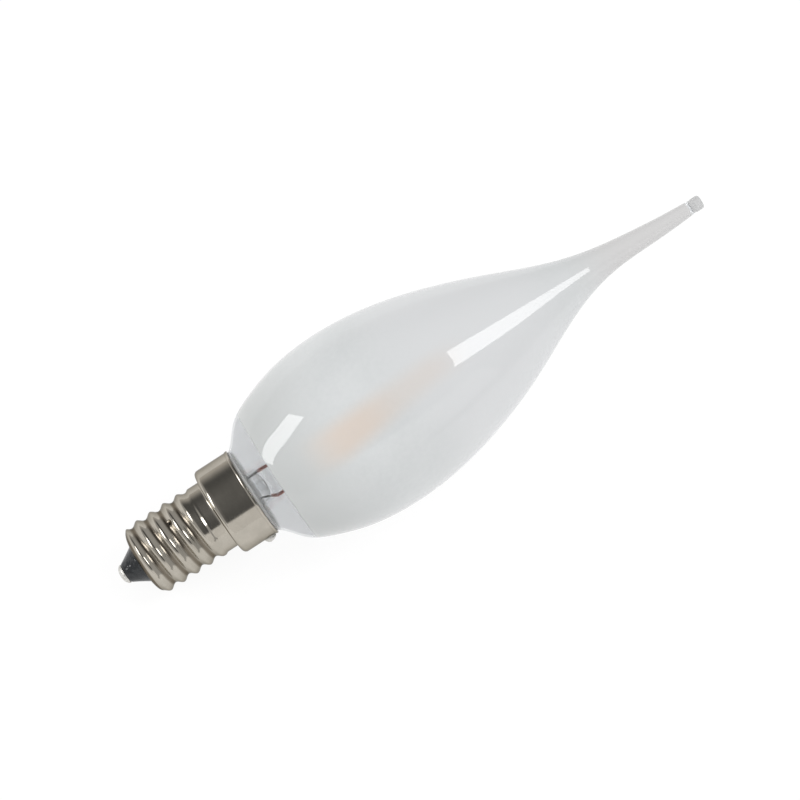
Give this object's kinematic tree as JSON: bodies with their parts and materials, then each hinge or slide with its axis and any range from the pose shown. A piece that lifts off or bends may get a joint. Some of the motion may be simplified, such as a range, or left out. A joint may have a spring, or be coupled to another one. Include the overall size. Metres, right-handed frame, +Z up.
{
  "type": "candle bulb",
  "caption": "Candle bulb with a drawn flame tip: frosted glass envelope, clear neck with a pinched stem, glowing strips inside, small screw cap with a soldered contact.",
  "frame": {"origin": "middle of the overall box in X and Y, on the ground plane that the bulb rests on", "axes": "the bulb lies at rest: +X along it from the contact to the tail, +Z up; its own axis rises 15.2 degrees from +X, because it rests on the first full crest of its thread and on its belly"},
  "size_m": [0.1192, 0.035, 0.0383],
  "materials": {
    "nickel_plate": "nickel-plated rolled brass, satin",
    "black_glass": "opaque black glass, glossy",
    "brass": "plain brass eyelet",
    "solder": "dull tin solder",
    "cement": "matte basing cement",
    "frosted_glass": "frosted inside, glossy outside, clear at the neck and the tail bead",
    "clear_glass": "clear drawn glass",
    "nickel_wire": "nickel wire and strip",
    "copper_wire": "copper-clad sealing wire",
    "tinned_wire": "tinned wire",
    "phosphor": "phosphor in silicone, matte",
    "board": "glass-fibre board with solder mask",
    "black_epoxy": "moulded epoxy",
    "capacitor_can": "aluminium can",
    "resistor_body": "glazed ceramic chip"
  },
  "bodies": {
    "root": {"cap_shell": "nickel_plate", "cap_insulator": "black_glass", "centre_contact": "brass", "centre_solder": "solder", "side_solder": "solder", "basing_cement": "cement", "glass_envelope": "frosted_glass", "stem_glass": "clear_glass", "exhaust_tube": "clear_glass", "inner_lead_a": "nickel_wire", "inner_lead_b": "nickel_wire", "seal_wires": "copper_wire", "outer_lead_a": "tinned_wire", "outer_lead_b": "tinned_wire", "support_wire": "nickel_wire", "cross_wire": "nickel_wire", "phosphor_strip_a": "phosphor", "phosphor_strip_b": "phosphor", "strip_tabs": "nickel_wire", "driver_board": "board", "bridge_rectifier": "black_epoxy", "driver_chip": "black_epoxy", "smoothing_capacitor": "capacitor_can", "sense_resistors": "resistor_body", "side_wire": "tinned_wire", "centre_wire": "tinned_wire"}
  },
  "joints": []
}
